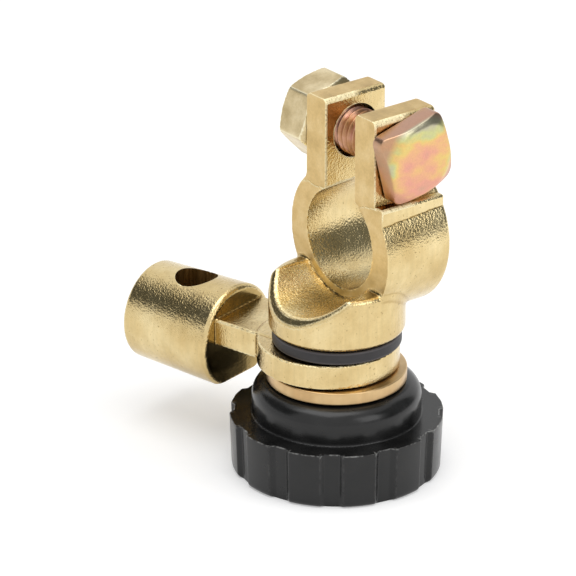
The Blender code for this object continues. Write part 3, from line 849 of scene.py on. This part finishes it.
def black_insulator():
    """Moulded black nylon: charcoal, matt, greyer on its edges."""
    made, tree, shader, place = new_material("black_insulator", 0.0, 0.5)
    clouds = add(tree, "TexNoise", {"Vector": place, "Scale": per_mm(2.0), "Detail": 3.0})
    colour = add(tree, "ValToRGB", {"Fac": clouds}, [(0.3, "#211E20"), (0.7, "#2C292B")])
    colour = add(tree, "Mix", {"Factor": marked(tree, 0.3, 1.0), "A": colour,
                               "B": linear("#464244")}, data_type="RGBA")
    grain = add(tree, "TexNoise", {"Vector": place, "Scale": per_mm(0.4)})
    normal = add(tree, "Bump", {"Height": grain, "Strength": 0.5, "Distance": 0.02 * MM})
    feed(tree, shader, {"Base Color": colour, "Normal": normal})
    return made


# Pieces

def clamp_casting():
    """Clamp body from its distance field."""
    return cast_form("clamp_casting", clamp_field, (-13.6, -11.6, 24.7), (13.6, 13.6, 63.6))


def lug_casting():
    """Cable lug from its distance field."""
    return cast_form("lug_casting", lug_field, (-41.0, -19.0, 8.0), (12.0, 12.0, 26.5))


def hexagon(angle, across):
    """Radius of a hexagon with a corner at angle 0."""
    return across / 2 / np.cos(angle % (np.pi / 3) - np.pi / 6)


def soft_square(angle, across, corner):
    """Radius of a square with rounded corners, a flat at angle 0."""
    half = across / 2
    off = np.abs((angle + np.pi / 4) % (np.pi / 2) - np.pi / 4)
    reach = (half - corner) * np.sqrt(2)
    lean = np.pi / 4 - off
    rounded = reach * np.cos(lean) + np.sqrt(
        np.maximum(corner**2 - (reach * np.sin(lean)) ** 2, 0.0))
    return np.where(half * np.tan(off) <= half - corner, half / np.cos(off), rounded)


def thread_rows(start, end, columns, step=0.09):
    """Rows of a right-hand M8 thread: a V wound round the axis, once a pitch.

    The V's depth goes from crest to root and back over a turn's height, with
    its crest and root flattened, and fades out at both ends.
    """
    height = np.arange(start, end, step)[:, None]
    turn = np.arange(columns)[None, :] / columns
    phase = (height / M8_PITCH - turn) % 1.0
    valley = np.clip(np.abs(phase - 0.5) * 2.4 - 0.15, 0.0, 1.0)
    fade = np.clip(np.minimum(height - start, end - height) / THREAD_RUN_OUT, 0.0, 1.0)
    return M8_RADIUS - THREAD_DEPTH * valley * fade, height + 0.0 * turn


def bolt_with_head():
    """Clamp bolt: threaded shank, then a forged square head.

    The head is a square with rounded corners. A cone of 30 degrees takes the
    corners off its face, and the face inside the cone is slightly crowned.
    The rear top corner is fuller than the others and the front top one blunter,
    as the forging left them.
    """
    columns = 192
    angle = np.linspace(0.0, TAU, columns, endpoint=False)
    tip = HEAD_SEAT - BOLT_LENGTH
    thread, along = thread_rows(tip + TIP_CHAMFER, HEAD_SEAT - 0.4, columns)

    def near(corner, reach):
        """1 at a corner and 0 further round than the reach, both in degrees."""
        return blended(-np.abs(angle - math.radians(corner)), math.radians(-reach), 0.0)

    def crowned(r):
        """Height of the crowned face at a radius."""
        return face + HEAD_CROWN * (1.0 - (r / HEAD_FACE_RADIUS) ** 2)

    full = near(45.0, 40.0)
    outline = soft_square(angle, HEAD_ACROSS, HEAD_CORNER) + 0.03 * full
    face_r = HEAD_FACE_RADIUS + 0.7 * full - 0.6 * near(135.0, 35.0)
    face = HEAD_SEAT + HEAD_THICKNESS
    rise, run = math.sin(CHAMFER_SLOPE), math.cos(CHAMFER_SLOPE)
    cone = face - (outline - face_r) * rise / run
    seat_edge = 0.35
    side_edge = 0.26
    face_edge = np.clip((outline - face_r) / run - side_edge - 0.02, 0.05, 0.55)
    inner = face_r - face_edge
    rows = eased((outline - seat_edge, HEAD_SEAT), (outline, HEAD_SEAT),
                 (outline, HEAD_SEAT + seat_edge), 3)
    rows += eased((outline, cone - side_edge), (outline, cone),
                  (outline - side_edge * run, cone + side_edge * rise), 6)
    rows += eased((face_r + face_edge * run, face - face_edge * rise), (face_r, face),
                  (inner, crowned(inner)), 6)
    rows += [(inner * share, crowned(inner * share)) for share in np.linspace(0.9, 0.003, 12)]
    radius, height = stacked(rows, columns)
    ends = np.ones((1, columns))
    pole = 0.02
    radius = np.concatenate((pole * ends, TIP_RADIUS * ends, thread, SHANK_RADIUS * ends, radius))
    height = np.concatenate((tip * ends, tip * ends, along, HEAD_SEAT * ends, height))
    return turned("clamp_bolt_piece", radius, height, "X", HEAD_TURN,
                  (0.0, BOLT_MIDDLE, BOLT_AXIS), sharp=50.0)


def nut_piece():
    """Hexagon nut: corners slightly blunt and turned down to cones, bore chamfered."""
    columns = 180
    angle = np.linspace(0.0, TAU, columns, endpoint=False)
    corners = hexagon(angle, NUT_ACROSS)
    corners = corners - NUT_BLUNTING * np.clip((corners - NUT_CORNER_RADIUS) / 0.2, 0.0, 1.0)
    outer = -HEAD_SEAT - NUT_THICKNESS
    inner = -HEAD_SEAT
    bore = M8_RADIUS + RUNNING_GAP
    mouth = bore + NUT_BORE_CHAMFER
    cone = [(d, np.minimum(corners, NUT_FACE_RADIUS + d / math.tan(CHAMFER_SLOPE)))
            for d in (0.0, 0.08, 0.17, 0.3, 0.46, 0.6, 0.76, 0.9)]
    rows = [(mouth, outer)]
    rows += [(r, outer + d) for d, r in cone]
    rows += [(r, inner - d) for d, r in cone[::-1]]
    rows += [(mouth, inner), (bore, inner - NUT_BORE_CHAMFER), (bore, outer + NUT_BORE_CHAMFER)]
    radius, height = stacked(rows, columns)
    return turned("clamp_nut_piece", radius, height, "X", NUT_TURN,
                  (0.0, BOLT_MIDDLE, BOLT_AXIS), bored=True, sharp=25.0)


def knob_piece():
    """Knob: twelve shallow flutes round the flange, a hub with a soft shoulder.

    A flute is a groove in the radius, 13.4 degrees wide, whose sides ease into
    its floor over 3.4 degrees. The moulding flash on the lobes' top edges is
    a fine uneven lip, a sum of seeded waves of 7 to 30 a turn. A six-sided
    pocket in the hub holds the insert.
    """
    columns = 1080
    angle = np.linspace(0.0, TAU, columns, endpoint=False)
    pitch = TAU / FLUTES
    off = np.degrees(np.abs((angle + pitch / 2) % pitch - pitch / 2))
    share = blended(-off, -FLUTE_HALF_ANGLE, -FLOOR_HALF_ANGLE)
    groove = FLUTE_DEPTH * share
    draw = np.random.default_rng(7)
    waves = draw.normal(size=(24, 2))
    tones = np.arange(7, 31)[:, None]
    uneven = (waves[:, :1] * np.cos(tones * angle) + waves[:, 1:] * np.sin(tones * angle)).sum(0)
    flash = FLASH * np.clip(uneven / 7.0, 0.0, 1.0) * (share < 0.1)
    foot = KNOB_FOOT_RADIUS - groove
    side_height = FLANGE_TOP - KNOB_DRAFT - KNOB_FOOT_EDGE
    lip = foot + KNOB_DRAFT
    pocket = hexagon(angle, POCKET_ACROSS)
    rows = [(POLE, 0.0), (SUPPORT_RADII[0], 0.0)]
    rows += [(KNOB_FACE_RADIUS + (foot - KNOB_FACE_RADIUS) * math.sin(a),
              KNOB_FOOT_EDGE * (1 - math.cos(a))) for a in np.radians(np.linspace(0.0, 90.0, 6))]
    rows += [(foot + KNOB_DRAFT * t, KNOB_FOOT_EDGE + side_height * t)
             for t in np.linspace(0.12, 1.0, 10)]
    rows += [(lip - 0.01, FLANGE_TOP - 0.12), (lip - 0.08 + flash, FLANGE_TOP),
             (lip - 0.25, FLANGE_TOP)]
    rows += [(r, FLANGE_TOP) for r in (*SUPPORT_RADII, HUB_RADIUS + HUB_FILLET)]
    rows += rounding(HUB_RADIUS + HUB_FILLET, FLANGE_TOP + HUB_FILLET, -HUB_FILLET, 90.0, 0.0, 3)
    rows += [(HUB_RADIUS, h) for h in np.linspace(FLANGE_TOP + 0.6, HUB_TOP - 3.0, 5)]
    rows += rounding(HUB_RADIUS - HUB_ROUNDING, HUB_TOP - HUB_ROUNDING, HUB_ROUNDING, 0.0, 90.0, 14)
    rows += [(10.2, HUB_TOP), (pocket, HUB_TOP), (pocket, POCKET_FLOOR), (POLE, POCKET_FLOOR)]
    radius, height = stacked(rows, columns)
    return turned("knob_piece", radius, height, turn=KNOB_TURN, sharp=30.0)


def disc_piece():
    """Contact disc with broken edges."""
    edge_r = DISC_RADIUS - DISC_EDGE
    rows = [(r, DISC_BOTTOM) for r in (STUD_BORE, 8.0, edge_r)]
    rows += rounding(edge_r, DISC_BOTTOM + DISC_EDGE, DISC_EDGE, -90.0, 0.0, 4)
    rows += rounding(edge_r, DISC_TOP - DISC_EDGE, DISC_EDGE, 0.0, 90.0, 4)
    rows += [(r, DISC_TOP) for r in (8.0, STUD_BORE)]
    radius, height = stacked(rows, 240)
    return turned("contact_disc_piece", radius, height, bored=True)


def bush_piece():
    """Insulating bush: flange over the lug, sleeve in the lug's hole."""
    sleeve_bottom = LUG_BOTTOM + RUNNING_GAP
    edge_r = BUSH_RADIUS - BUSH_EDGE
    rows = [(STUD_BORE, sleeve_bottom), (SLEEVE_RADIUS, sleeve_bottom),
            (SLEEVE_RADIUS, BUSH_BOTTOM)]
    rows += rounding(edge_r, BUSH_BOTTOM + BUSH_EDGE, BUSH_EDGE, -90.0, 0.0, 4)
    rows += [(BUSH_RADIUS, h) for h in np.linspace(BUSH_BOTTOM + 0.45, BUSH_TOP - 0.45, 4)]
    rows += rounding(edge_r, BUSH_TOP - BUSH_EDGE, BUSH_EDGE, 0.0, 90.0, 4)
    rows += [(STUD_BORE, BUSH_TOP)]
    radius, height = stacked(rows, 180)
    return turned("insulating_bush_piece", radius, height, bored=True)


def stud_piece():
    """Stud with its thread, from inside the knob's insert up into the base."""
    columns = 72
    thread, along = thread_rows(STUD_THREAD_START, STUD_THREAD_END, columns, step=0.15)
    ends = np.ones((1, columns))
    radius = np.concatenate((STUD_TIP_RADIUS * ends, thread, STUD_TIP_RADIUS * ends))
    height = np.concatenate((STUD_BOTTOM * ends, along, STUD_TOP * ends))
    return turned("knob_stud_piece", radius, height, sharp=40.0)


def paint(piece, *finishes):
    """Give a piece its materials."""
    for made in finishes:
        piece.data.materials.append(made)


def face_places(piece):
    """Directions and middles, in millimetres, of a piece's faces."""
    mesh = piece.data
    normal = np.empty(len(mesh.polygons) * 3, dtype=np.float32)
    middle = np.empty_like(normal)
    mesh.polygons.foreach_get("normal", normal)
    mesh.polygons.foreach_get("center", middle)
    return normal.reshape(-1, 3), middle.reshape(-1, 3) / MM


def mark(piece, chosen, finish=1):
    """Give one of a piece's further materials to the chosen faces."""
    index = np.empty(len(chosen), dtype=np.int32)
    piece.data.polygons.foreach_get("material_index", index)
    piece.data.polygons.foreach_set("material_index", np.where(chosen, finish, index))


def mark_milled(clamp):
    """The ring's and ears' front faces and the ears' tops are milled."""
    normal, middle = face_places(clamp)
    front = (normal[:, 1] < -FACING) & (np.abs(middle[:, 1] - RING_FRONT) < CLOSE)
    front &= middle[:, 2] > BASE_BOTTOM + 5.0
    mark(clamp, front | (normal[:, 2] > FACING) & (middle[:, 2] > EAR_TOP - CLOSE))


def mark_scoop(clamp):
    """The scoop lies in front of the ring, round the post axis."""
    middle = face_places(clamp)[1]
    mark(clamp, (middle[:, 1] < RING_FRONT - 0.3) & (scoop_field(*middle.T) < 0.05), 2)


def mark_faced(lug):
    """The barrel's end towards the ring is faced, its bore and sight hole drilled."""
    normal, middle = face_places(lug)
    way = np.array([math.cos(LUG_HEADING), math.sin(LUG_HEADING), 0.0])
    along = middle @ way
    mark(lug, (normal @ way < -FACING) & (np.abs(along - BARREL_START) < CLOSE))
    side = middle[:, 1] * way[0] - middle[:, 0] * way[1]
    out = np.hypot(side, middle[:, 2] - BARREL_AXIS)
    bore = (along > NECK_END) & (out < CABLE_BORE_RADIUS + 0.05)
    sight = np.hypot(along - SIGHT_HOLE_PLACE, side) < SIGHT_HOLE_RADIUS + 0.03
    mark(lug, bore | sight & (middle[:, 2] > BARREL_AXIS), 2)


def mark_thread(bolt):
    """The shank is threaded."""
    mark(bolt, face_places(bolt)[1][:, 0] < HEAD_SEAT - 0.1)


def dress():
    """Make every piece, place it on its body and in the place of its node."""
    brass = cast_brass("cast_brass", "#CAB17C", "#D7C08C", "#E2CE9D", relief=1.0, dull=0.0)
    # The scoop's copy of the cast brass: its paler colours are painted light, its rougher gloss and
    # lower relief are the casting's
    painted_lit_scoop_brass = cast_brass("scoop_brass_painted_lit", "#E4CE90", "#F0DCA4", "#FAECBE", relief=0.85, dull=0.2)
    lathe = turned_brass()
    clamp = clamp_casting()
    paint(clamp, brass, milled_brass(), painted_lit_scoop_brass)
    mark_milled(clamp)
    mark_scoop(clamp)
    lug = lug_casting()
    paint(lug, brass, faced_brass(), drilled_brass())
    mark_faced(lug)
    bolt = bolt_with_head()
    paint(bolt, yellow_zinc(), rolled_thread())
    mark_thread(bolt)
    table = [
        (clamp, "clamp", "clamp_body", "cast_brass", None),
        (lug, "lug", "cable_lug", "cast_brass", None),
        (bolt, "bolt", "clamp_bolt", "yellow_zinc", None),
        (nut_piece(), "nut", "clamp_nut", "plated_nut", plated_nut()),
        (knob_piece(), "knob", "knob", "black_plastic", black_plastic()),
        (disc_piece(), "disc", "contact_disc", "turned_brass", lathe),
        (bush_piece(), "clamp", "insulating_bush", "black_insulator", black_insulator()),
        (stud_piece(), "clamp", "knob_stud", "turned_brass", lathe),
    ]
    for piece, body, node, slot, finish in table:
        if finish is not None:
            paint(piece, finish)
        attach(piece, body)
        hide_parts(node)
    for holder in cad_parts["knob_insert"].material_slots:
        holder.material = lathe


# Studio

def seen(tree):
    """1 where the ray is from the camera, a reflection or a refraction."""
    path = add(tree, "LightPath").outputs
    first = add(tree, "Math", {0: path["Is Camera Ray"], 1: path["Is Glossy Ray"]},
                operation="MAXIMUM")
    return add(tree, "Math", {0: first, 1: path["Is Transmission Ray"]}, operation="MAXIMUM")


def surroundings():
    """A white world that lights the object less than it shows."""
    world = bpy.data.worlds.new("white_surroundings")
    bpy.context.scene.world = world
    world.use_nodes = True
    tree = world.node_tree
    level = add(tree, "MapRange", {"Value": seen(tree), "To Min": 0.6, "To Max": 1.0})
    feed(tree, tree.nodes["Background"], {"Color": (1.0, 1.0, 1.0, 1.0), "Strength": level})


def pale_floor():
    """A matt floor just under the knob, whose glow makes it white further off."""
    half = 3000.0
    corners = [(-half, -half), (half, -half), (half, half), (-half, half)]
    floor = mesh_object("floor", [(x, y, -0.02) for x, y in corners], [(0, 1, 2, 3)])
    pale, tree, shader, place = new_material("pale_floor", 0.0, 1.0)
    away = add(tree, "VectorMath", {0: place}, operation="LENGTH")
    glow = limited(tree, seen(tree), {"Value": away, "From Min": 0.3, "From Max": 1.6,
                                      "To Min": 0.28, "To Max": 0.52})
    feed(tree, shader, {"Base Color": (0.82, 0.82, 0.82, 1.0), "Specular IOR Level": 0.0,
                        "Emission Color": (1.0, 1.0, 1.0, 1.0), "Emission Strength": glow})
    paint(floor, pale)


def grey_screen(name, azimuth, low, high, width, level):
    """Part of a sphere round the object that only its reflections show.

    It lies between two elevations, about an azimuth, all in degrees.
    """
    columns, rows = 13, 7
    reach, middle = 900.0, 40.0
    turn = np.radians(np.linspace(azimuth - width / 2, azimuth + width / 2, columns))[None, :]
    lift = np.radians(np.linspace(low, high, rows))[:, None]
    points = np.stack((reach * np.cos(lift) * np.cos(turn), reach * np.cos(lift) * np.sin(turn),
                       reach * np.sin(lift) + middle + 0.0 * turn), -1).reshape(-1, 3)
    index = np.arange(rows * columns).reshape(rows, columns)
    quads = np.stack((index[:-1, :-1], index[1:, :-1], index[1:, 1:], index[:-1, 1:]), -1)
    screen = mesh_object(name, points, quads.reshape(-1, 4))
    grey, tree, shader, _ = new_material(name, 0.0, 1.0)
    feed(tree, shader, {"Base Color": (0.0, 0.0, 0.0, 1.0), "Specular IOR Level": 0.0,
                        "Emission Color": (level * 0.95, level, level, 1.0),
                        "Emission Strength": 1.0})
    paint(screen, grey)
    screen.visible_camera = False
    screen.visible_diffuse = False
    screen.visible_shadow = False
    screen.visible_transmission = False


def aim(thing, target):
    """Turn a lamp or camera so that it looks at a point."""
    way = Vector(target) - Vector(thing.location)
    thing.rotation_euler = way.to_track_quat("-Z", "Y").to_euler()


def lamp(name, place, size, power, target=(0.0, 0.0, 0.03)):
    """A square soft lamp aimed at a point, in metres and watts."""
    data = bpy.data.lights.new(name, "AREA")
    data.size = size
    data.energy = power
    made = bpy.data.objects.new(name, data)
    made.location = place
    aim(made, target)
    bpy.context.scene.collection.objects.link(made)
    return made


def studio():
    """White surroundings, a pale floor, three soft lamps and three grey screens."""
    surroundings()
    pale_floor()
    lamp("overhead", (0.0, -0.12, 0.95), size=0.7, power=3.4)
    lamp("side", (0.75, 0.15, 0.45), size=0.5, power=1.2)
    far_side = lamp("far_side", (0.26, 0.30, 0.30), size=0.3, power=0.5, target=(0.14, 0.16, 0.0))
    far_side.visible_glossy = False
    grey_screen("left_screen", -138.0, low=17.0, high=50.0, width=68.0, level=0.12)
    grey_screen("right_screen", 56.0, low=-5.0, high=46.0, width=66.0, level=0.2)
    grey_screen("back_screen", 128.0, low=26.0, high=42.0, width=24.0, level=0.4)


def camera():
    """The photograph's viewpoint, about 0.67 m from the object."""
    data = bpy.data.cameras.new("viewpoint")
    data.sensor_width = 36.0
    data.lens = 251.85
    made = bpy.data.objects.new("viewpoint", data)
    place = (0.47102, -0.37658, 0.30016)
    way = (-0.7211, 0.5609, -0.4068)
    made.location = place
    aim(made, [p + w for p, w in zip(place, way)])
    bpy.context.scene.collection.objects.link(made)
    bpy.context.scene.camera = made


camera()
dress()
studio()
bpy.context.scene.view_settings.view_transform = "Standard"
